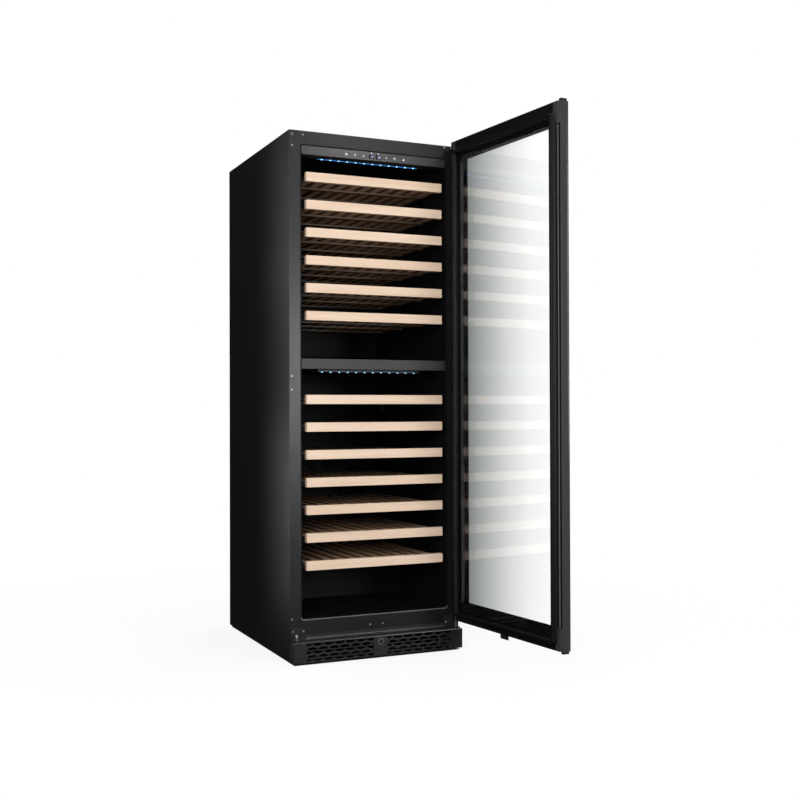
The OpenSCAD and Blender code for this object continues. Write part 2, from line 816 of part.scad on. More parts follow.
module door_gasket() {
    h = gasket_z1 - gasket_z0;
    w = 2 * gasket_half;
    color([0.09, 0.09, 0.09]) swung() {
        for (s = [-1, 1]) scale([s, 1, 1]) gasket_stick(h, [gasket_half, door_in, gasket_z0]);
        for (s = [0, 1]) translate([0, 0, s * (gasket_z0 + gasket_z1)]) scale([1, 1, 1 - 2 * s])
            gasket_rail(w);
    }
}

// Upright stick of the gasket, cut at 45 degrees at both ends
module gasket_stick(h, at) {
    translate(at) intersection() {
        linear_extrude(height = h) mirror([1, 0]) gasket_section();
        rotate([90, 0, 0]) translate([0, 0, -40]) linear_extrude(height = 80)
            polygon([[1, -0.9], [1, h + 0.9], [-gasket_w - 1, h - gasket_w - 1.1],
                [-gasket_w - 1, gasket_w + 1.1]]);
    }
}

module gasket_rail(w) {
    translate([-w / 2, door_in, gasket_z0]) intersection() {
        translate([w, 0, 0]) rotate([0, -90, 0]) linear_extrude(height = w) gasket_section();
        rotate([90, 0, 0]) translate([0, 0, -40]) linear_extrude(height = 80)
            polygon([[-0.9, -1], [w + 0.9, -1], [w - gasket_w - 1.1, gasket_w + 1],
                [gasket_w + 1.1, gasket_w + 1]]);
    }
}

// Strike under the door that the lock's cam stands in front of
module lock_tab() {
    y1 = door_in - 4;
    color([0.15, 0.15, 0.14]) swung() union() {
        box(-21, 21, y1 - 2.5, y1, 81, door_z0);
        box(-21, 21, y1 - 20, y1, door_z0 - 2, door_z0);
    }
}

module hinge_bushes() {
    color(plastic_black) swung() difference() {
        union() {
            translate([pivot_x, pivot_y, door_z0]) cylinder(r = 7, h = 18);
            translate([pivot_x, pivot_y, door_z0 - 2]) cylinder(r = 9, h = 2);
            translate([pivot_x, pivot_y, 1684]) cylinder(r = 7, h = 20);
        }
        translate([pivot_x, pivot_y, door_z0 - 3])
            cylinder(r = hinge_pin_r + running, h = 19);
        translate([pivot_x, pivot_y, 1680]) cylinder(r = hinge_pin_r + running, h = 22);
    }
}

// ---- Nodes ----

side_panels();
top_panel();
back_panel();
rear_cover();
base_pan();
insulation();
liner_upper();
liner_lower();
face_frame();
divider_cover();
control_panel();
display_windows();
led_bars();
shelf_rails();
air_duct_upper();
air_duct_lower();
evaporators();
fan_rotor_upper();
fan_rotor_lower();
temperature_sensors();
compressor();
condenser();
fan_shroud();
fan_rotor_condenser();
drip_tray();
refrigerant_lines();
electronics_box();
power_inlet();
kick_grille();
lock_cylinder();
lock_cam();
hinge_brackets();
upper_hinge_bracket();
frame_screws();
foot_front_left();
foot_front_right();
foot_rear_left();
foot_rear_right();
door_frame();
handle_profile();
handle_caps();
glass_outer();
glass_inner();
glass_spacer();
door_gasket();
lock_tab();
hinge_bushes();
shelf(1);  // shelf_01
shelf(2);  // shelf_02
shelf(3);  // shelf_03
shelf(4);  // shelf_04
shelf(5);  // shelf_05
shelf(6);  // shelf_06
shelf(7);  // shelf_07
shelf(8);  // shelf_08
shelf(9);  // shelf_09
shelf(10);  // shelf_10
shelf(11);  // shelf_11
shelf(12);  // shelf_12
shelf(13);  // shelf_13
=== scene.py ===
"""Tall dual-zone wine cooler, its glass door standing open.

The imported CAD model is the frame. This script gives it finished surfaces, and replaces the
boards, seals, glass, light bars and back sheet with finer meshes. Units are metres; lengths
written with MM are millimetres. +X is the viewer's right, the front faces -Y, +Z is up.
"""

import json
import math

import bmesh
import bpy
from mathutils import Matrix, Vector


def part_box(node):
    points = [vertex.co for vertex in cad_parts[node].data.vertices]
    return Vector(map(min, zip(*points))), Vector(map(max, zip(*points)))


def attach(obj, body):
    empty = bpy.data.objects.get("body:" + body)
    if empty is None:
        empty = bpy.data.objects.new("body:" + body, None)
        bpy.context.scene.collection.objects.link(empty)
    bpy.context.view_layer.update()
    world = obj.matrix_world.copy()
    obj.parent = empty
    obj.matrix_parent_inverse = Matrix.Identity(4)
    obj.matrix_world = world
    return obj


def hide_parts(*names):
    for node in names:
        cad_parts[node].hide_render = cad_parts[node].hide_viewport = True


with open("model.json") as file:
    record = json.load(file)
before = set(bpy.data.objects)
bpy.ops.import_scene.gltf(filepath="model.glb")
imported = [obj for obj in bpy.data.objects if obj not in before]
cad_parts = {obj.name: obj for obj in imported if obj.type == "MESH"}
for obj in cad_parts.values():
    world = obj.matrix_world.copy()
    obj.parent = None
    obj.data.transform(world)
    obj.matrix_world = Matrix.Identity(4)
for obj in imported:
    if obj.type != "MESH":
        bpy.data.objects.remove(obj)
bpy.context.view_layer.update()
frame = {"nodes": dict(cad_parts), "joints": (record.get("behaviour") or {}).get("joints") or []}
nodes = frame["nodes"]
MM = 0.001

# ---------------------------------------------------------------- places taken from the frame

hinge = next(j for j in frame["joints"] if j["name"] == "door_hinge")
pivot = Vector(hinge["pos_m"])
door_angle = math.radians(-hinge["range_deg"][0])
swing = Matrix.Translation(pivot) @ Matrix.Rotation(door_angle, 4, "Z") @ Matrix.Translation(-pivot)
unswing = swing.inverted()

back_lo, back_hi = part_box("back_panel")
shelf_names = sorted(n for n in nodes if n.startswith("shelf_") and n != "shelf_rails")


def closed_box(node):
    """A door node's box with the door shut, where its faces line up with the axes."""
    points = [unswing @ v.co for v in nodes[node].data.vertices]
    lo = Vector(min(p[i] for p in points) for i in range(3))
    hi = Vector(max(p[i] for p in points) for i in range(3))
    return lo, hi


# ---------------------------------------------------------------- materials


def new_material(name):
    material = bpy.data.materials.new(name)
    material.use_nodes = True
    tree = material.node_tree
    return material, tree, tree.nodes["Principled BSDF"]


def add(tree, kind, **values):
    """A new node; values are inputs by name (spaces as underscores) or the node's own settings."""
    made = tree.nodes.new(kind)
    for key, value in values.items():
        label = key.replace("_", " ").title()
        if hasattr(made, key):
            setattr(made, key, value)
        else:
            made.inputs[label].default_value = value
    return made


def ramp(tree, factor, stops):
    """A colour ramp fed by factor; stops are (position, grey or colour)."""
    made = tree.nodes.new("ShaderNodeValToRGB")
    elements = made.color_ramp.elements
    while len(elements) < len(stops):
        elements.new(1.0)
    for element, (position, value) in zip(elements, stops):
        element.position = position
        colour = value if isinstance(value, tuple) else (value, value, value)
        element.color = (*colour, 1.0)
    tree.links.new(factor, made.inputs["Fac"])
    return made.outputs["Color"]


def noise(tree, coords, scale, detail=3.0, roughness=0.55):
    made = add(tree, "ShaderNodeTexNoise", scale=scale, detail=detail, roughness=roughness)
    tree.links.new(coords, made.inputs["Vector"])
    return made.outputs["Fac"]


def stretched(tree, coords, scale):
    made = tree.nodes.new("ShaderNodeMapping")
    made.inputs["Scale"].default_value = scale
    tree.links.new(coords, made.inputs["Vector"])
    return made.outputs["Vector"]


def object_coords(tree):
    return tree.nodes.new("ShaderNodeTexCoord").outputs["Object"]


def grain_coords(tree):
    made = tree.nodes.new("ShaderNodeUVMap")
    made.uv_map = "grain"
    return made.outputs["UV"]


def multiplied(tree, first, second):
    made = add(tree, "ShaderNodeMix", data_type="RGBA", blend_type="MULTIPLY")
    made.inputs["Factor"].default_value = 1.0
    tree.links.new(first, made.inputs["A"])
    tree.links.new(second, made.inputs["B"])
    return made.outputs["Result"]


def bump(tree, bsdf, height, depth, strength=1.0):
    made = add(tree, "ShaderNodeBump", strength=strength, distance=depth)
    tree.links.new(height, made.inputs["Height"])
    tree.links.new(made.outputs["Normal"], bsdf.inputs["Normal"])


def grained(name, dark, light, rough, scale=500.0, depth=0.05, stretch=(1, 1, 1), metallic=0.0,
            specular=0.5, patch=6.0, fine=0.5):
    """Moulded plastic, coated or bare metal: mottled tone, uneven gloss and a fine grain."""
    material, tree, bsdf = new_material(name)
    coords = stretched(tree, object_coords(tree), stretch)
    broad = noise(tree, coords, patch, 4.0)
    small = noise(tree, coords, scale, 2.0, fine)
    tree.links.new(ramp(tree, broad, [(0.3, dark), (0.7, light)]), bsdf.inputs["Base Color"])
    both = add(tree, "ShaderNodeMix", data_type="FLOAT")
    both.inputs["Factor"].default_value = 0.5
    tree.links.new(broad, both.inputs["A"])
    tree.links.new(small, both.inputs["B"])
    gloss = ramp(tree, both.outputs["Result"], [(0.35, rough[0]), (0.65, rough[1])])
    tree.links.new(gloss, bsdf.inputs["Roughness"])
    bump(tree, bsdf, small, depth * MM)
    bsdf.inputs["Metallic"].default_value = metallic
    bsdf.inputs["Specular IOR Level"].default_value = specular
    return material


def beech(name, pale, deep, fibre_depth=0.05):
    """Lacquered beech: soft bands and long fibres along the grain, with short dark flecks."""
    material, tree, bsdf = new_material(name)
    coords = grain_coords(tree)
    board = noise(tree, stretched(tree, coords, (1.1, 5.0, 1.0)), 1.0, 2.0)
    band = noise(tree, stretched(tree, coords, (4.0, 75.0, 1.0)), 1.0, 4.0)
    fibre = noise(tree, stretched(tree, coords, (30.0, 1400.0, 1.0)), 1.0, 3.0, 0.65)
    fleck = noise(tree, stretched(tree, coords, (260.0, 2200.0, 1.0)), 1.0, 1.0)
    tone = ramp(tree, band, [(0.32, deep), (0.62, pale)])
    tone = multiplied(tree, tone, ramp(tree, board, [(0.3, (0.90, 0.86, 0.81)), (0.66, 1.0)]))
    tone = multiplied(tree, tone, ramp(tree, fleck, [(0.30, (0.74, 0.62, 0.52)), (0.37, 1.0)]))
    tone = multiplied(tree, tone, ramp(tree, fibre, [(0.25, (0.92, 0.88, 0.84)), (0.6, 1.0)]))
    tree.links.new(tone, bsdf.inputs["Base Color"])
    tree.links.new(ramp(tree, fibre, [(0.3, 0.52), (0.7, 0.40)]), bsdf.inputs["Roughness"])
    bump(tree, bsdf, fibre, fibre_depth * MM)
    bsdf.inputs["Coat Weight"].default_value = 0.12
    bsdf.inputs["Coat Roughness"].default_value = 0.25
    return material


def brushed(name, colour, rough, spangle=0.0):
    """Bare sheet metal: fine drawn lines, and soft spangles where it is galvanised."""
    material, tree, bsdf = new_material(name)
    coords = object_coords(tree)
    lines = noise(tree, stretched(tree, coords, (1.0, 1.0, 60.0)), 40.0, 3.0)
    cells = add(tree, "ShaderNodeTexVoronoi", scale=70.0)
    tree.links.new(coords, cells.inputs["Vector"])
    both = add(tree, "ShaderNodeMix", data_type="FLOAT")
    both.inputs["Factor"].default_value = spangle
    tree.links.new(lines, both.inputs["A"])
    tree.links.new(cells.outputs["Distance"], both.inputs["B"])
    low = tuple(c * 0.88 for c in colour)
    tone = ramp(tree, both.outputs["Result"], [(0.25, low), (0.7, colour)])
    tree.links.new(tone, bsdf.inputs["Base Color"])
    gloss = ramp(tree, both.outputs["Result"], [(0.3, rough + 0.05), (0.7, rough - 0.03)])
    tree.links.new(gloss, bsdf.inputs["Roughness"])
    bump(tree, bsdf, lines, 0.01 * MM)
    bsdf.inputs["Metallic"].default_value = 1.0
    return material


def clear_glass(name, tint):
    """Coated float glass with the faintest waviness; the tint is the glass's own."""
    material, tree, bsdf = new_material(name)
    wave = noise(tree, object_coords(tree), 2.0, 0.0)
    bump(tree, bsdf, wave, 0.005 * MM, 0.1)
    tree.links.new(ramp(tree, wave, [(0.3, tint), (0.7, tuple(c * 0.99 for c in tint))]),
                   bsdf.inputs["Base Color"])
    bsdf.inputs["Roughness"].default_value = 0.0
    bsdf.inputs["IOR"].default_value = 1.45
    bsdf.inputs["Specular Tint"].default_value = (0.5, 0.5, 0.5, 1.0)
    bsdf.inputs["Transmission Weight"].default_value = 1.0
    return material


def glowing(name, colour, strength):
    """A lit lens or print, mottled by the grain of its diffuser."""
    material, tree, bsdf = new_material(name)
    body = (0.02, 0.02, 0.03)
    speckle = noise(tree, object_coords(tree), 900.0, 2.0)
    low = tuple(c * 0.85 for c in colour)
    tree.links.new(ramp(tree, speckle, [(0.3, low), (0.7, colour)]), bsdf.inputs["Emission Color"])
    tree.links.new(ramp(tree, speckle, [(0.3, body), (0.7, tuple(c * 1.2 for c in body))]),
                   bsdf.inputs["Base Color"])
    bsdf.inputs["Emission Strength"].default_value = strength
    bsdf.inputs["Roughness"].default_value = 0.25
    return material


def make_materials():
    m = {}
    m["coat"] = grained("black_powder_coat", (0.0064, 0.0064, 0.0067), (0.0082, 0.0082, 0.0086),
                        (0.33, 0.39), 700.0, 0.03, specular=0.42, patch=2.0)
    m["frame_coat"] = grained("black_frame_coat", (0.0058, 0.0058, 0.006), (0.0080, 0.0080, 0.0084),
                              (0.32, 0.38), 700.0, 0.03, patch=3.0)
    m["liner"] = grained("black_liner", (0.0022, 0.0022, 0.0025), (0.0034, 0.0034, 0.0037),
                         (0.52, 0.62), 420.0, 0.06, specular=0.2)
    m["trim"] = grained("grey_trim", (0.015, 0.015, 0.016), (0.019, 0.019, 0.020),
                        (0.40, 0.46), 800.0, 0.02, specular=0.42)
    # The film's own dark grey, lifted by a painted sheen for its gloss, so it reads lighter than the
    # frame
    m["panel"] = grained("panel_film", (0.030, 0.030, 0.031), (0.035, 0.035, 0.036),
                         (0.20, 0.26), 300.0, 0.004)
    m["display"] = grained("display_film", (0.006, 0.006, 0.012), (0.009, 0.009, 0.018),
                           (0.07, 0.11), 300.0, 0.003)
    m["door"] = grained("door_profile", (0.0040, 0.0040, 0.0042), (0.0060, 0.0060, 0.0063),
                        (0.28, 0.36), 500.0, 0.02, stretch=(1, 1, 0.05), specular=0.28)
    m["handle"] = grained("handle_anodised", (0.034, 0.034, 0.035), (0.043, 0.043, 0.044),
                          (0.30, 0.38), 500.0, 0.02, stretch=(1, 1, 0.05))
    m["cap"] = grained("moulded_cap", (0.010, 0.010, 0.011), (0.016, 0.016, 0.017),
                       (0.42, 0.52), 900.0, 0.05)
    m["kick"] = grained("moulded_kick", (0.010, 0.010, 0.011), (0.015, 0.015, 0.016),
                        (0.40, 0.52), 900.0, 0.06)
    m["rail"] = grained("coated_rail", (0.008, 0.008, 0.0085), (0.012, 0.012, 0.0125),
                        (0.35, 0.45), 600.0, 0.02)
    m["hinge"] = grained("black_plated_steel", (0.016, 0.016, 0.017), (0.026, 0.026, 0.028),
                         (0.30, 0.42), 700.0, 0.02, metallic=0.35)
    m["screw"] = grained("black_zinc", (0.26, 0.26, 0.265), (0.36, 0.36, 0.365),
                         (0.30, 0.40), 1500.0, 0.01, metallic=0.7)
    # The base pan is black like the coat; this lighter grey is a painted highlight along its ledges
    m["ledge"] = grained("painted_ledge", (0.016, 0.016, 0.0165), (0.021, 0.021, 0.0215),
                         (0.34, 0.42), 700.0, 0.03)
    # Light grey for a few edges and the liner's lower lip: a painted highlight
    m["rim"] = grained("polished_edge", (0.13, 0.13, 0.13), (0.16, 0.16, 0.16),
                       (0.28, 0.36), 420.0, 0.02)
    m["rubber"] = grained("gasket_rubber", (0.0030, 0.0030, 0.0032), (0.0048, 0.0048, 0.0050),
                          (0.40, 0.50), 1200.0, 0.03, stretch=(1, 1, 0.2), specular=0.2)
    m["nylon"] = grained("black_nylon", (0.009, 0.009, 0.009), (0.014, 0.014, 0.014),
                         (0.38, 0.48), 600.0, 0.01)
    m["white"] = grained("white_moulding", (0.60, 0.60, 0.57), (0.68, 0.68, 0.65),
                         (0.40, 0.5), 500.0, 0.02)
    m["fan"] = grained("fan_moulding", (0.012, 0.012, 0.012), (0.02, 0.02, 0.02),
                       (0.40, 0.52), 600.0, 0.02)
    m["tray"] = grained("tray_moulding", (0.03, 0.03, 0.03), (0.045, 0.045, 0.045),
                        (0.45, 0.55), 600.0, 0.03)
    m["enamel"] = grained("black_enamel", (0.006, 0.006, 0.006), (0.010, 0.010, 0.010),
                          (0.18, 0.30), 250.0, 0.05)
    m["foam"] = grained("rigid_foam", (0.62, 0.52, 0.30), (0.74, 0.66, 0.42),
                        (0.7, 0.85), 350.0, 0.4)
    m["print"] = grained("ceramic_print", (0.0035, 0.0035, 0.0038), (0.005, 0.005, 0.0055),
                         (0.24, 0.32), 900.0, 0.006)
    m["black_glass"] = grained("glass_over_print", (0.003, 0.003, 0.0033), (0.004, 0.004, 0.0044),
                               (0.03, 0.05), 3.0, 0.01)
    m["edge"] = grained("glass_edge", (0.02, 0.035, 0.03), (0.035, 0.055, 0.048),
                        (0.12, 0.22), 700.0, 0.02)
    m["galvanised"] = brushed("galvanised_sheet", (0.48, 0.49, 0.50), 0.42, spangle=0.7)
    m["aluminium"] = brushed("mill_aluminium", (0.72, 0.73, 0.74), 0.30)
    m["spacer"] = brushed("anodised_spacer", (0.17, 0.17, 0.175), 0.38)
    m["copper"] = brushed("copper_pipe", (0.78, 0.40, 0.24), 0.28)
    m["front_wood"] = beech("beech_front", (0.745, 0.58, 0.445), (0.685, 0.515, 0.385), 0.02)
    m["slat_wood"] = beech("beech_slat", (0.60, 0.42, 0.285), (0.48, 0.315, 0.20), 0.07)
    # Dark beech for the slats' sides and the cross bars: painted shade, for the dark gaps between
    # the slats
    m["slat_edge"] = beech("beech_sawn_edge", (0.13, 0.082, 0.05), (0.09, 0.055, 0.033), 0.07)
    m["outer_glass"] = clear_glass("tinted_glass", (0.938, 0.947, 0.946))
    m["inner_glass"] = clear_glass("float_glass", (0.98, 0.985, 0.985))
    m["blue_strip"] = glowing("blue_diffuser", (0.035, 0.24, 0.72), 1.0)
    m["blue_dot"] = glowing("blue_lens", (0.30, 0.68, 1.0), 2.8)
    m["icon"] = glowing("icon_print", (0.78, 0.80, 0.85), 2.6)
    m["digit"] = glowing("digit_glow", (0.66, 0.62, 1.0), 1.8)
    return m


MATERIALS = make_materials()

NODE_LOOKS = {
    "coat": ["side_panels", "top_panel"],
    "ledge": ["base_pan"],
    "frame_coat": ["face_frame"],
    "galvanised": ["rear_cover"],
    "foam": ["insulation"],
    "liner": ["liner_upper", "liner_lower", "air_duct_upper", "air_duct_lower"],
    "trim": ["divider_cover"],
    "panel": ["control_panel"],
    "display": ["display_windows"],
    "rail": ["shelf_rails"],
    "aluminium": ["evaporators"],
    "fan": ["fan_rotor_upper", "fan_rotor_lower", "fan_rotor_condenser", "fan_shroud",
            "temperature_sensors"],
    "white": ["electronics_box"],
    "enamel": ["compressor", "condenser"],
    "tray": ["drip_tray"],
    "copper": ["refrigerant_lines"],
    "cap": ["power_inlet", "handle_caps", "foot_front_left", "foot_front_right",
            "foot_rear_left", "foot_rear_right"],
    "kick": ["kick_grille"],
    "hinge": ["hinge_brackets", "upper_hinge_bracket", "lock_tab", "lock_cylinder", "lock_cam"],
    "screw": ["frame_screws"],
    "door": ["door_frame"],
    "handle": ["handle_profile"],
    "nylon": ["hinge_bushes"],
}

# Width of the rounding on each CAD node's edges, in millimetres
NODE_EDGES = {
    "side_panels": 0.3, "top_panel": 0.3, "face_frame": 0.35, "divider_cover": 0.5,
    "control_panel": 0.8, "hinge_brackets": 0.5, "upper_hinge_bracket": 0.5,
    "lock_cam": 0.4, "lock_tab": 0.4, "door_frame": 0.6, "handle_profile": 0.8,
    "handle_caps": 1.2, "shelf_rails": 0.3, "drip_tray": 0.6, "electronics_box": 2.0,
    "power_inlet": 0.5, "kick_grille": 0.4, "base_pan": 0.4,
    "lock_cylinder": 0.3,
}


def join_faces(piece):
    """Welds a CAD mesh, whose faces share no points, and clears the lines across flat faces."""
    weld = piece.modifiers.new("weld", "WELD")
    weld.merge_threshold = 0.005 * MM
    flat = piece.modifiers.new("flat", "DECIMATE")
    flat.decimate_type = "DISSOLVE"
    flat.angle_limit = math.radians(0.3)


def soften(piece, width_mm):
    """Rounds the sharp edges of a piece, so that they catch the light."""
    made = piece.modifiers.new("edges", "BEVEL")
    made.width = width_mm * MM
    made.segments = 2
    made.limit_method = "ANGLE"
    made.angle_limit = math.radians(40)
    made.harden_normals = True
    made.use_clamp_overlap = True


def second_look(node, look, wanted):
    """Gives the faces whose points pass the test a second material."""
    data = nodes[node].data
    data.materials.append(MATERIALS[look])
    for face in data.polygons:
        if wanted([data.vertices[i].co for i in face.vertices]):
            face.material_index = 1


def bright_edge(node, width_mm, wanted):
    """Rounds the edges between the points that pass the test, in a lighter grey that is a painted
    highlight.
    """
    piece = nodes[node]
    piece.data.materials.append(MATERIALS["rim"])
    group = piece.vertex_groups.new(name="rim")
    group.add([v.index for v in piece.data.vertices if wanted(v.co)], 1.0, "REPLACE")
    made = piece.modifiers.new("rim", "BEVEL")
    piece.modifiers.move(len(piece.modifiers) - 1, 2)
    made.width = width_mm * MM
    made.segments = 2
    made.limit_method = "VGROUP"
    made.vertex_group = "rim"
    made.material = len(piece.data.materials) - 1
    made.use_clamp_overlap = False


def finish_cad_nodes():
    for look, names in NODE_LOOKS.items():
        for name in names:
            data = nodes[name].data
            data.materials.clear()
            data.materials.append(MATERIALS[look])
    for name, width in NODE_EDGES.items():
        join_faces(nodes[name])
        soften(nodes[name], width)

    def is_pin(points):
        return max(math.hypot(abs(p.x) - pivot.x, p.y - pivot.y) for p in points) < 4.5 * MM

    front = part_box("face_frame")[0].y
    kick_lo, kick_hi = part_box("kick_grille")
    lip_z1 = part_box("liner_lower")[0].z + 14 * MM
    lock_lo, lock_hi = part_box("lock_cylinder")
    lock_centre = (lock_lo + lock_hi) / 2

    def is_lower_lip(points):
        return max(p.y for p in points) < front - 0.9 * MM and max(p.z for p in points) < lip_z1

    def is_kick_rim(point):
        return point.z > kick_hi.z - 0.1 * MM and point.y < kick_lo.y + 0.1 * MM

    stile_lo, stile_hi = closed_box("handle_profile")
    scoop_x, scoop_y, scoop_r = stile_lo.x + 11 * MM, stile_hi.y - 1 * MM, 9 * MM

    def is_inner_stile(points):
        """The scoop's round wall, and the faces between it and the glass."""
        shut = [unswing @ p for p in points]
        off = [abs(math.hypot(p.x - scoop_x, p.y - scoop_y) - scoop_r) for p in shut]
        return max(off) < 0.1 * MM or min(p.x for p in shut) > scoop_x + scoop_r - 0.5 * MM

    def is_foam_front(points):
        return max(p.y for p in points) < front + 60 * MM

    def is_lock_rim(points):
        reach = [math.hypot(p.x - lock_centre.x, p.z - lock_centre.z) for p in points]
        return min(reach) > 8.2 * MM and max(p.y for p in points) < lock_lo.y + 3 * MM

    # The hinge pins and the lock's rim are bare steel
    second_look("hinge_brackets", "screw", is_pin)
    second_look("lock_cylinder", "screw", is_lock_rim)
    second_look("handle_profile", "door", is_inner_stile)
    # Where the liners' corners leave a gap, the foam behind it has its black skin
    second_look("insulation", "liner", is_foam_front)
    # The liner's lower lip, the kick plate's top front edge and the base pan's ledge edge take the
    # light grey, a painted highlight
    second_look("liner_lower", "rim", is_lower_lip)
    bright_edge("kick_grille", 2.6, is_kick_rim)
    bright_edge("base_pan", 1.0, lambda p: p.y < front - 3.9 * MM and p.z > kick_hi.z)


# ---------------------------------------------------------------- mesh tools


class Build:
    """Collects vertices and faces, with a material and a grain coordinate for each face corner."""

    def __init__(self, looks):
        self.looks = looks
        self.verts, self.faces, self.face_look, self.uvs, self.smooth = [], [], [], [], []

    def face(self, indices, look=0, uv=None, smooth=False):
        self.faces.append(tuple(indices))
        self.face_look.append(look)
        self.smooth.append(smooth)
        self.uvs.extend(uv or [(self.verts[i][0], self.verts[i][2]) for i in indices])

    def points(self, new):
        start = len(self.verts)
        self.verts.extend(tuple(p) for p in new)
        return list(range(start, start + len(new)))

    def object(self, name, matrix=None):
        mesh = bpy.data.meshes.new(name)
        mesh.from_pydata(self.verts, [], self.faces)
        for look in self.looks:
            mesh.materials.append(MATERIALS[look])
        mesh.polygons.foreach_set("material_index", self.face_look)
        mesh.polygons.foreach_set("use_smooth", self.smooth)
        layer = mesh.uv_layers.new(name="grain")
        for loop, uv in zip(layer.data, self.uvs):
            loop.uv = uv
        if matrix is not None:
            mesh.transform(matrix)
        mesh.validate()
        mesh.update()
        made = bpy.data.objects.new(name, mesh)
        bpy.context.scene.collection.objects.link(made)
        return made


def rounded_block(build, lo, hi, radius, look=0, along=0, seed=0, side_look=None):
    """A box with rounded edges whose grain runs along one axis.

    side_look is the look of the faces that point along X, where they get another one; the shelves
    give the slats' sides a painted shade this way.
    """
    block = bmesh.new()
    bmesh.ops.create_cube(block, size=1.0)
    centre, size = [(a + b) / 2 for a, b in zip(lo, hi)], [b - a for a, b in zip(lo, hi)]
    for vert in block.verts:
        vert.co = Vector(c + s * p for c, s, p in zip(centre, size, vert.co))
    bmesh.ops.bevel(block, geom=list(block.edges), offset=radius, segments=2,
                    profile=0.5, affect="EDGES")
    start = len(build.verts)
    build.verts.extend(tuple(v.co) for v in block.verts)
    across = [i for i in range(3) if i != along]
    for face in block.faces:
        uv = []
        for vert in face.verts:
            p = vert.co
            uv.append((p[along] + seed * 3.17, p[across[0]] + p[across[1]] + seed * 0.713))
        flat = max(abs(c) for c in face.normal) > 0.999
        own = side_look is not None and abs(face.normal.x) > 0.9
        build.face([start + v.index for v in face.verts], side_look if own else look, uv,
                   smooth=not flat)
    block.free()


def hanging_lathe(build, profile, centre, steps, look):
    """Turns (radius, drop) points about the upright line through centre; drop is downwards."""
    rings = []
    for radius, drop in profile:
        ring = []
        for k in range(steps):
            turn = 2 * math.pi * k / steps
            a, b = radius * math.cos(turn), radius * math.sin(turn)
            ring.append(Vector(centre) + Vector((a, -b, -drop)))
        rings.append(build.points(ring))
    for low, high in zip(rings, rings[1:]):
        for k in range(steps):
            n = (k + 1) % steps
            build.face([low[k], low[n], high[n], high[k]], look, smooth=True)
    build.face(rings[-1], look)
    build.face(list(reversed(rings[0])), look)


def ring_sweep(build, lo, hi, profile, radius, base, steps=6):
    """Sweeps a closed profile of (inward, depth) points round an upright rectangle.

    lo and hi are the rectangle's outer (x, z) corners, and base is the y that depth counts from.
    """
    least = 0.4 * MM
    corners = [(lo[0], lo[1], 1, 1), (hi[0], lo[1], -1, 1), (hi[0], hi[1], -1, -1),
               (lo[0], hi[1], 1, -1)]
    first_turn = [math.pi, 1.5 * math.pi, 0.0, 0.5 * math.pi]
    stations = []
    for (cx, cz, sx, sz), start in zip(corners, first_turn):
        for k in range(steps + 1):
            turn = start + 0.5 * math.pi * k / steps
            station = []
            for inward, depth in profile:
                r = max(radius - inward, least)
                x = cx + sx * (inward + r) + r * math.cos(turn)
                z = cz + sz * (inward + r) + r * math.sin(turn)
                station.append((x, base + depth, z))
            stations.append(build.points(station))
    count = len(profile)
    for i, here in enumerate(stations):
        there = stations[(i + 1) % len(stations)]
        for j in range(count):
            n = (j + 1) % count
            build.face([here[j], here[n], there[n], there[j]])


def arc(cx, cy, radius, start, end, steps):
    """Points on a circle, angles in degrees."""
    turns = [math.radians(start + (end - start) * k / steps) for k in range(steps + 1)]
    return [(cx + radius * math.cos(t), cy + radius * math.sin(t)) for t in turns]


def auto_smooth(piece, angle):
    """Smooth shading that keeps edges sharper than the angle."""
    with bpy.context.temp_override(object=piece, active_object=piece, selected_objects=[piece],
                                   selected_editable_objects=[piece]):
        bpy.ops.object.shade_smooth_by_angle(angle=math.radians(angle))


# ---------------------------------------------------------------- shelves


def shelf_boards(node):
    """The boards of one shelf, read from its CAD solids: (lowest corner, highest corner) each."""
    shape = bmesh.new()
    shape.from_mesh(nodes[node].data)
    bmesh.ops.remove_doubles(shape, verts=shape.verts, dist=0.01 * MM)
    left, boards = set(shape.verts), []
    while left:
        stack, island = [left.pop()], []
        while stack:
            vert = stack.pop()
            island.append(vert.co.copy())
            for edge in vert.link_edges:
                other = edge.other_vert(vert)
                if other in left:
                    left.remove(other)
                    stack.append(other)
        lo = Vector(min(p[i] for p in island) for i in range(3))
        hi = Vector(max(p[i] for p in island) for i in range(3))
        boards.append((lo, hi))
    shape.free()
    return sorted(boards, key=lambda b: (round(b[0].y, 4), round(b[0].x, 4), round(b[0].z, 4)))


def make_runner(build, lo, hi):
    """The moving half of a drawer slide: a steel strip folded into a channel that opens inwards."""
    side = 1 if lo.x > 0 else -1
    web, flange = 2.5 * MM, 1.6 * MM
    out_lo, out_hi = (hi.x - web, hi.x) if side > 0 else (lo.x, lo.x + web)
    rounded_block(build, (out_lo, lo.y, lo.z), (out_hi, hi.y, hi.z), 0.6 * MM)
    in_lo, in_hi = (lo.x, out_lo) if side > 0 else (out_hi, hi.x)
    rounded_block(build, (in_lo, lo.y, lo.z), (in_hi, hi.y, lo.z + flange), 0.5 * MM)
    rounded_block(build, (in_lo, lo.y, hi.z - flange), (in_hi, hi.y, hi.z), 0.5 * MM)


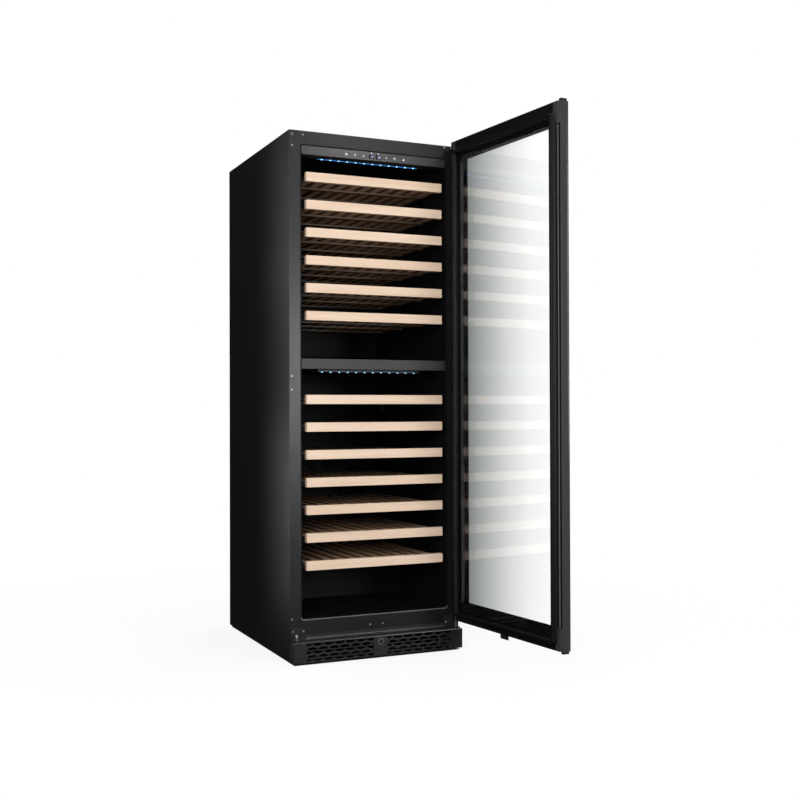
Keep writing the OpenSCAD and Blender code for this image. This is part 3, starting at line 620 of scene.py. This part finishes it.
def make_shelf(node, number):
    """One shelf: its boards, each with its own grain, and the steel runners at its sides."""
    boards, runners = Build(["front_wood", "slat_wood", "slat_edge"]), Build(["rail"])
    solids = shelf_boards(node)
    front_width = max(hi.x - lo.x for lo, hi in solids if hi.z - lo.z > 25 * MM)
    for k, (lo, hi) in enumerate(solids):
        if max(-lo.x, hi.x) > front_width / 2 + 1 * MM:
            make_runner(runners, lo, hi)
            continue
        size = hi - lo
        is_front = size.z > 25 * MM
        along = 0 if size.x > size.y else 1
        rounding = 0.8 * MM if is_front else 1.6 * MM
        seed = number * 7 + k * 1.37
        # Cross bars and the sides of the slats take the dark beech, a painted shade
        look = 0 if is_front else 2 - along
        rounded_block(boards, lo, hi, rounding, look, along, seed,
                      side_look=2 if along == 1 else None)
    for build, name, slot in ((boards, "_boards", "beech"), (runners, "_runners", "rail_steel")):
        piece = build.object(node + name)
        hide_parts(node)
        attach(piece, node)


# ---------------------------------------------------------------- door


def make_pane(name, node, clear, front_look, back_look, glass_look):
    """A glass pane with a printed border round its clear middle.

    clear is (x0, x1, z0, z1) of the clear middle. The front is the side away from the cabinet.
    """
    lo, hi = closed_box(node)
    build = Build([glass_look, front_look, back_look, "edge"])
    x0, x1, z0, z1 = clear

    def rect(xa, xb, za, zb, y):
        return build.points([(xa, y, za), (xb, y, za), (xb, y, zb), (xa, y, zb)])

    b = 0.7 * MM  # ground edge
    front_in = rect(x0, x1, z0, z1, lo.y)
    front_out = rect(lo.x + b, hi.x - b, lo.z + b, hi.z - b, lo.y)
    side_front = rect(lo.x, hi.x, lo.z, hi.z, lo.y + b)
    side_back = rect(lo.x, hi.x, lo.z, hi.z, hi.y - b)
    back_out = rect(lo.x + b, hi.x - b, lo.z + b, hi.z - b, hi.y)
    back_in = rect(x0, x1, z0, z1, hi.y)
    build.face(front_in, 0)
    build.face(list(reversed(back_in)), 0)
    for outer, inner, look in ((front_out, front_in, 1), (side_front, front_out, 3),
                               (side_back, side_front, 3), (back_out, side_back, 3),
                               (back_in, back_out, 2)):
        for k in range(4):
            n = (k + 1) % 4
            build.face([outer[k], outer[n], inner[n], inner[k]], look)
    piece = build.object(name, swing)
    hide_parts(node)
    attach(piece, "door")
    return piece


def make_gasket():
    """Magnetic door seal: a flat foot, a folded bellows and a soft rounded lip."""
    lo, hi = closed_box("door_gasket")
    top = hi.y - lo.y
    width = 14 * MM
    profile = [(0, 0), (0, 2.6 * MM), (1.2 * MM, 3.8 * MM), (2.2 * MM, 4.6 * MM),
               (1.4 * MM, 6.2 * MM), (2.6 * MM, 8.0 * MM), (1.4 * MM, 9.8 * MM)]
    profile += [(x, y) for x, y in arc(3.9 * MM, top - 2.4 * MM, 2.4 * MM, 180, 90, 4)]
    profile += [(width - x, y) for x, y in arc(3.9 * MM, top - 2.4 * MM, 2.4 * MM, 90, 180, 4)]
    profile += [(width - 1.4 * MM, 9.8 * MM), (width - 2.6 * MM, 8.0 * MM),
                (width - 1.4 * MM, 6.2 * MM), (width - 2.2 * MM, 4.6 * MM),
                (width - 1.2 * MM, 3.8 * MM), (width, 2.6 * MM), (width, 0)]
    build = Build(["rubber"])
    ring_sweep(build, (lo.x, lo.z), (hi.x, hi.z), profile, 9 * MM, lo.y)
    piece = build.object("door_seal", swing)
    auto_smooth(piece, 35)
    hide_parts("door_gasket")
    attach(piece, "door")


def make_spacer():
    """Hollow spacer bar between the panes, with a seam along its middle."""
    lo, hi = closed_box("glass_spacer")
    depth, width = hi.y - lo.y, 7 * MM
    mid, seam = depth / 2, 1.1 * MM
    lip = 0.9 * MM
    profile = [(0, 0), (0, depth), (width - lip, depth), (width, depth - lip),
               (width, mid + seam + lip), (width - 1.4 * MM, mid + seam),
               (width - 1.4 * MM, mid - seam), (width, mid - seam - lip),
               (width, lip), (width - lip, 0)]
    build = Build(["spacer"])
    ring_sweep(build, (lo.x, lo.z), (hi.x, hi.z), profile, 1.5 * MM, lo.y, steps=2)
    piece = build.object("pane_spacer", swing)
    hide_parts("glass_spacer")
    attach(piece, "door")


def make_door():
    """Both panes, the spacer between them and the seal round the door."""
    outer_lo, outer_hi = closed_box("glass_outer")
    inner_lo, inner_hi = closed_box("glass_inner")
    side, bottom, top = 57 * MM, 62.5 * MM, 64 * MM
    clear = (outer_lo.x + side, outer_hi.x - side, outer_lo.z + bottom, outer_hi.z - top)
    pane = make_pane("outer_pane", "glass_outer", clear, "black_glass", "print", "outer_glass")
    side, bottom, top = 19 * MM, 33.5 * MM, 17 * MM
    clear = (inner_lo.x + side, inner_hi.x - side, inner_lo.z + bottom, inner_hi.z - top)
    pane = make_pane("inner_pane", "glass_inner", clear, "print", "black_glass", "inner_glass")
    make_spacer()
    make_gasket()


# ---------------------------------------------------------------- lights and controls in the cabinet


def make_light_bars():
    """Two light bars: a black channel, a blue diffuser and twelve bright lenses."""
    lo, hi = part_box("led_bars")
    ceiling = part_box("liner_upper")[1].z
    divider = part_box("divider_cover")[0].z
    y0, y1 = lo.y, hi.y
    middle = (y0 + y1) / 2
    post_top = hi.z
    post, post_x, half = 20 * MM, 153 * MM, 3 * MM
    height, wall, end, round_off = 7 * MM, 1.4 * MM, 3 * MM, 0.4 * MM
    lens_pitch, lens_r, lens_drop = 30 * MM, 3.2 * MM, 2.6 * MM
    turns = [math.radians(15 * i) for i in range(6)]
    dome = [(lens_r * math.cos(t), lens_drop * math.sin(t)) for t in turns]
    build = Build(["rail", "blue_strip", "blue_dot"])
    for top in (post_top - post, divider):
        low = top - height
        rounded_block(build, (lo.x, y0, low), (hi.x, y0 + wall, top), round_off)
        rounded_block(build, (lo.x, y1 - wall, low), (hi.x, y1, top), round_off)
        rounded_block(build, (lo.x, y0 + wall, top - wall), (hi.x, y1 - wall, top), round_off)
        for x in (lo.x, hi.x - end):
            rounded_block(build, (x, y0 + wall, low), (x + end, y1 - wall, top - wall), round_off)
        rounded_block(build, (lo.x + end, y0 + wall, top - 6.6 * MM),
                      (hi.x - end, y1 - wall, top - 4.2 * MM), 0.5 * MM, look=1)
        for k in range(12):
            centre = ((k - 5.5) * lens_pitch, middle, top - 6.4 * MM)
            hanging_lathe(build, dome, centre, 20, 2)
    for x in (-post_x, post_x):
        rounded_block(build, (x - half, middle - half, post_top - post),
                      (x + half, middle + half, min(post_top, ceiling)), 0.6 * MM)
    piece = build.object("light_bars")
    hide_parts("led_bars")
    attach(piece, "cabinet")


def stroke(data, points, closed=False):
    """Adds one thin line to a curve; points are (x, z)."""
    spline = data.splines.new("POLY")
    spline.points.add(len(points) - 1)
    for slot, (x, z) in zip(spline.points, points):
        slot.co = (x, 0.0, z, 1.0)
    spline.use_cyclic_u = closed


def line_piece(name, look, width, strokes, y):
    """A piece made of thin printed or lit lines in an upright plane at y."""
    data = bpy.data.curves.new(name, "CURVE")
    data.dimensions = "3D"
    data.bevel_depth = width / 2
    data.bevel_resolution = 1
    for points, closed in strokes:
        stroke(data, points, closed)
    data.materials.append(MATERIALS[look])
    piece = bpy.data.objects.new(name, data)
    piece.location.y = y
    bpy.context.scene.collection.objects.link(piece)
    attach(piece, "cabinet")
    return piece


def shifted(points, x, z):
    return [(x + px * MM, z + pz * MM) for px, pz in points]


def digit_strokes(figure, x, z):
    """One seven-segment figure, 5 mm wide and 9 mm tall, centred at x, z."""
    w, h = 2.0, 4.0
    g = 0.5
    segments = {
        "a": [(-w + g, h), (w - g, h)], "b": [(w, h - g), (w, g)], "c": [(w, -g), (w, -h + g)],
        "d": [(-w + g, -h), (w - g, -h)], "e": [(-w, -g), (-w, -h + g)],
        "f": [(-w, h - g), (-w, g)], "g": [(-w + g, 0), (w - g, 0)],
    }
    lit = {"0": "abcdef", "1": "bc", "2": "abged", "5": "afgcd", "8": "abcdefg"}[figure]
    return [(shifted(segments[s], x, z), False) for s in lit]


def make_controls():
    """Touch symbols and the two temperature displays on the control panel."""
    panel_lo, panel_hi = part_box("control_panel")
    window_lo, window_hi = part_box("display_windows")
    z = (window_lo.z + window_hi.z) / 2
    ring = arc(0, 0, 2.6, 120, 420, 14)
    arrow_up = [(-2.4, -1.2), (0, 1.6), (2.4, -1.2)]
    arrow_down = [(-2.4, 1.2), (0, -1.6), (2.4, 1.2)]
    bulb = arc(0, 0.8, 2.0, -50, 230, 12)
    strokes = []
    places = {"power": -101, "lamp": -71, "up": -41, "down": 40, "unit": 70, "lock": 103}
    x = {key: value * MM for key, value in places.items()}
    strokes.append((shifted(ring, x["power"], z), False))
    strokes.append((shifted([(0, 0.4), (0, 3.6)], x["power"], z), False))
    strokes.append((shifted(bulb, x["lamp"], z), False))
    strokes.append((shifted([(-0.9, -2.4), (0.9, -2.4)], x["lamp"], z), False))
    strokes.append((shifted(arrow_up, x["up"], z), False))
    strokes.append((shifted(arrow_down, x["down"], z), False))
    strokes.append((shifted(arc(-2.2, 2.2, 0.8, 0, 360, 8)[:-1], x["unit"], z), True))
    strokes.append((shifted(arc(1.2, 0, 2.3, 50, 310, 10), x["unit"], z), False))
    box = [(-2.4, -3), (2.4, -3), (2.4, 0.2), (-2.4, 0.2)]
    strokes.append((shifted(box, x["lock"], z), True))
    strokes.append((shifted(arc(0, 0.2, 1.6, 0, 180, 8), x["lock"], z), False))
    line_piece("touch_symbols", "icon", 0.8 * MM, strokes, panel_lo.y - 0.1 * MM)
    digits = []
    for centre, figures in ((-12.5, "12"), (12.5, "18")):
        for offset, figure in zip((-3.6, 3.6), figures):
            digits += digit_strokes(figure, (centre + offset) * MM, z)
    line_piece("temperature_digits", "digit", 0.9 * MM, digits, window_lo.y - 0.15 * MM)
    marks = [(shifted([(0, -1.6), (0, 1.6)], c * MM, panel_hi.z - 4.6 * MM), False)
             for c in (-13, 12)]
    line_piece("zone_marks", "icon", 2.6 * MM, marks, panel_lo.y + 0.7 * MM)


# ---------------------------------------------------------------- back of the cabinet


def pressed_rib(build, x0, x1, z0, z1, y, height):
    """A raised panel in the sheet, with sloping sides."""
    low = build.points([(x0, y, z0), (x1, y, z0), (x1, y, z1), (x0, y, z1)])
    s = 5 * MM  # width of the slope
    high = build.points([(x0 + s, y + height, z0 + s), (x1 - s, y + height, z0 + s),
                         (x1 - s, y + height, z1 - s), (x0 + s, y + height, z1 - s)])
    for k in range(4):
        n = (k + 1) % 4
        build.face([low[n], low[k], high[k], high[n]])
    build.face(list(reversed(high)))
    build.face(low)


def make_back():
    """The back sheet with two columns of pressed ribs."""
    build = Build(["galvanised"])
    rounded_block(build, back_lo, back_hi, 0.2 * MM)
    margin, gap, rows = 45 * MM, 30 * MM, 5
    height = 1.3 * MM
    usable = back_hi.z - back_lo.z - 2 * margin
    step = usable / rows
    for side in (-1, 1):
        x_in, x_out = side * gap, side * (back_hi.x - margin)
        for row in range(rows):
            z0 = back_lo.z + margin + row * step + gap / 2
            pressed_rib(build, min(x_in, x_out), max(x_in, x_out), z0, z0 + step - gap,
                        back_hi.y - 0.05 * MM, height)
    piece = build.object("back_sheet")
    soften(piece, 1.2)
    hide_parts("back_panel")
    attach(piece, "cabinet")


# ---------------------------------------------------------------- stage


def make_floor():
    """A pale floor that fades into the white surround."""
    material, tree, bsdf = new_material("stage_floor")
    coords = object_coords(tree)
    distance = add(tree, "ShaderNodeVectorMath", operation="LENGTH")
    tree.links.new(coords, distance.inputs[0])
    span = add(tree, "ShaderNodeMapRange")
    span.inputs["From Max"].default_value = 2.0
    span.inputs["To Min"].default_value = 0.8
    tree.links.new(distance.outputs["Value"], span.inputs["Value"])
    glow = add(tree, "ShaderNodeEmission")
    mix = add(tree, "ShaderNodeMixShader")
    base = noise(tree, coords, 2.0)
    tree.links.new(ramp(tree, base, [(0.0, 0.90), (1.0, 0.93)]), bsdf.inputs["Base Color"])
    bsdf.inputs["Roughness"].default_value = 0.9
    bsdf.inputs["Specular IOR Level"].default_value = 0.0
    tree.links.new(span.outputs["Result"], mix.inputs["Fac"])
    tree.links.new(bsdf.outputs["BSDF"], mix.inputs[1])
    tree.links.new(glow.outputs["Emission"], mix.inputs[2])
    tree.links.new(mix.outputs["Shader"], tree.nodes["Material Output"].inputs["Surface"])
    mesh = bpy.data.meshes.new("floor")
    reach = 40.0
    mesh.from_pydata([(-reach, -reach, 0), (reach, -reach, 0), (reach, reach, 0),
                      (-reach, reach, 0)], [], [(0, 1, 2, 3)])
    mesh.materials.append(material)
    floor = bpy.data.objects.new("floor", mesh)
    floor.location.z = -0.2 * MM
    bpy.context.scene.collection.objects.link(floor)
    floor.visible_diffuse = False
    floor.visible_glossy = False
    floor.visible_transmission = False

    # The white floor lights itself, so the shade under the cabinet is a dark card
    shade, tree, bsdf = new_material("stage_shade")
    tone = noise(tree, object_coords(tree), 3.0)
    tree.links.new(ramp(tree, tone, [(0.0, 0.010), (1.0, 0.014)]), bsdf.inputs["Base Color"])
    lo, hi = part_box("kick_grille")[0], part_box("back_panel")[1]
    inset = 4 * MM
    x, y0, y1 = -lo.x - inset, lo.y + inset, hi.y - inset
    mesh = bpy.data.meshes.new("shade")
    mesh.from_pydata([(-x, y0, 0), (x, y0, 0), (x, y1, 0), (-x, y1, 0)], [], [(0, 1, 2, 3)])
    mesh.materials.append(shade)
    card = bpy.data.objects.new("shade", mesh)
    card.location.z = -0.1 * MM
    bpy.context.scene.collection.objects.link(card)


def make_world():
    """White surround for the camera, a graded card behind the glass, a dim studio otherwise."""
    world = bpy.data.worlds.new("studio")
    bpy.context.scene.world = world
    world.use_nodes = True
    tree = world.node_tree
    out = tree.nodes["World Output"]
    coords = tree.nodes.new("ShaderNodeTexCoord").outputs["Generated"]
    parts = tree.nodes.new("ShaderNodeSeparateXYZ")
    tree.links.new(coords, parts.inputs[0])
    # The card behind the glass is graded by its compass bearing
    side = add(tree, "ShaderNodeMath", operation="ARCTAN2")
    tree.links.new(parts.outputs["X"], side.inputs[0])
    tree.links.new(parts.outputs["Y"], side.inputs[1])
    seen_through = add(tree, "ShaderNodeMapRange")
    seen_through.inputs["From Min"].default_value = math.radians(14)
    seen_through.inputs["From Max"].default_value = math.radians(34)
    tree.links.new(side.outputs["Value"], seen_through.inputs["Value"])
    through = ramp(tree, seen_through.outputs["Result"],
                   [(0.0, 0.65), (0.4, 0.2), (0.68, (0.125, 0.14, 0.135)),
                    (0.76, (0.475, 0.485, 0.485)), (0.81, 0.70), (0.86, 0.86), (0.92, 0.93),
                    (1.0, (0.90, 0.90, 0.915))])
    dim = ramp(tree, parts.outputs["Z"], [(0.0, 0.015), (0.5, 0.04), (1.0, 0.30)])
    height = add(tree, "ShaderNodeMapRange")
    height.inputs["From Min"].default_value = -1.0
    tree.links.new(parts.outputs["Z"], height.inputs["Value"])
    fill = ramp(tree, height.outputs["Result"], [(0.35, 0.05), (0.6, 0.5)])
    path = tree.nodes.new("ShaderNodeLightPath")

    def background(colour, strength):
        made = tree.nodes.new("ShaderNodeBackground")
        made.inputs["Strength"].default_value = strength
        if isinstance(colour, float):
            made.inputs["Color"].default_value = (colour, colour, colour, 1)
        else:
            tree.links.new(colour, made.inputs["Color"])
        return made.outputs["Background"]

    def choose(flag, if_not, if_so):
        made = tree.nodes.new("ShaderNodeMixShader")
        tree.links.new(flag, made.inputs["Fac"])
        tree.links.new(if_not, made.inputs[1])
        tree.links.new(if_so, made.inputs[2])
        return made.outputs["Shader"]

    lit = choose(path.outputs["Is Diffuse Ray"], background(dim, 1.0), background(fill, 1.0))
    lit = choose(path.outputs["Is Transmission Ray"], lit, background(through, 1.33))
    lit = choose(path.outputs["Is Camera Ray"], lit, background(1.0, 1.0))
    tree.links.new(lit, out.inputs["Surface"])


def softbox(name, place, aim, width, height, power, spread=180):
    """An area lamp that lights and reflects, but isn't seen; spread is in degrees."""
    data = bpy.data.lights.new(name, "AREA")
    data.shape = "RECTANGLE"
    data.size, data.size_y = width, height
    data.energy = power
    data.spread = math.radians(spread)
    lamp = bpy.data.objects.new(name, data)
    lamp.location = place
    lamp.rotation_mode = "QUATERNION"
    lamp.rotation_quaternion = (Vector(aim) - Vector(place)).to_track_quat("-Z", "Y")
    lamp.visible_camera = False
    lamp.visible_transmission = False
    bpy.context.scene.collection.objects.link(lamp)
    return lamp


def make_lights():
    softbox("key", (-2.2, -3.4, 1.5), (0.0, -0.3, 0.9), 1.8, 1.8, 108)
    softbox("front_sheen", (1.0, -3.9, 1.05), (-0.2, -0.35, 0.95), 0.45, 0.8, 32)
    softbox("top_sheen", (1.4, -3.9, 2.8), (0.0, -0.35, 1.7), 0.3, 0.25, 8.5)
    softbox("top", (0.2, -0.8, 4.2), (0.0, -0.2, 0.8), 2.6, 2.6, 60)
    softbox("back", (3.0, 3.2, 1.8), (0.0, 0.3, 0.9), 2.6, 2.6, 90)
    # A tall curved strip behind the left side, whose narrow beam only grazes the front edge
    step = 0.7
    for k, power in enumerate((0.052, 0.026, 0.032)):
        z = step * (k + 0.5)
        aim = (-0.3, -0.60, (z + 0.4) / 1.5 - (0.12 if k == 0 else 0.0))
        softbox(f"edge_strip_{k + 1}", (-1.35, 1.4, z), aim, 0.12, step, power, spread=17)


def make_camera():
    """A nearly level camera at waist height, to the left of the open front."""
    yaw, pitch, roll = math.radians(24.493), math.radians(0.572), math.radians(-0.170)
    forward = Vector((math.sin(yaw) * math.cos(pitch), math.cos(yaw) * math.cos(pitch),
                      math.sin(pitch)))
    level = Vector((math.cos(yaw), -math.sin(yaw), 0.0))
    upward = level.cross(forward)
    right = level * math.cos(roll) + upward * math.sin(roll)
    up = upward * math.cos(roll) - level * math.sin(roll)
    rotation = Matrix((right, up, -forward)).transposed()
    data = bpy.data.cameras.new("camera")
    data.sensor_width = 36.0
    data.lens = 49.92
    camera = bpy.data.objects.new("camera", data)
    camera.matrix_world = Matrix.Translation((-1.4348, -3.6852, 0.7983)) @ rotation.to_4x4()
    bpy.context.scene.collection.objects.link(camera)
    bpy.context.scene.camera = camera


# ---------------------------------------------------------------- the whole scene

make_camera()
make_world()
make_floor()
make_lights()
finish_cad_nodes()
for index, shelf in enumerate(shelf_names):
    make_shelf(shelf, index + 1)
make_door()
make_light_bars()
make_controls()
make_back()
bpy.context.scene.view_settings.view_transform = "Standard"
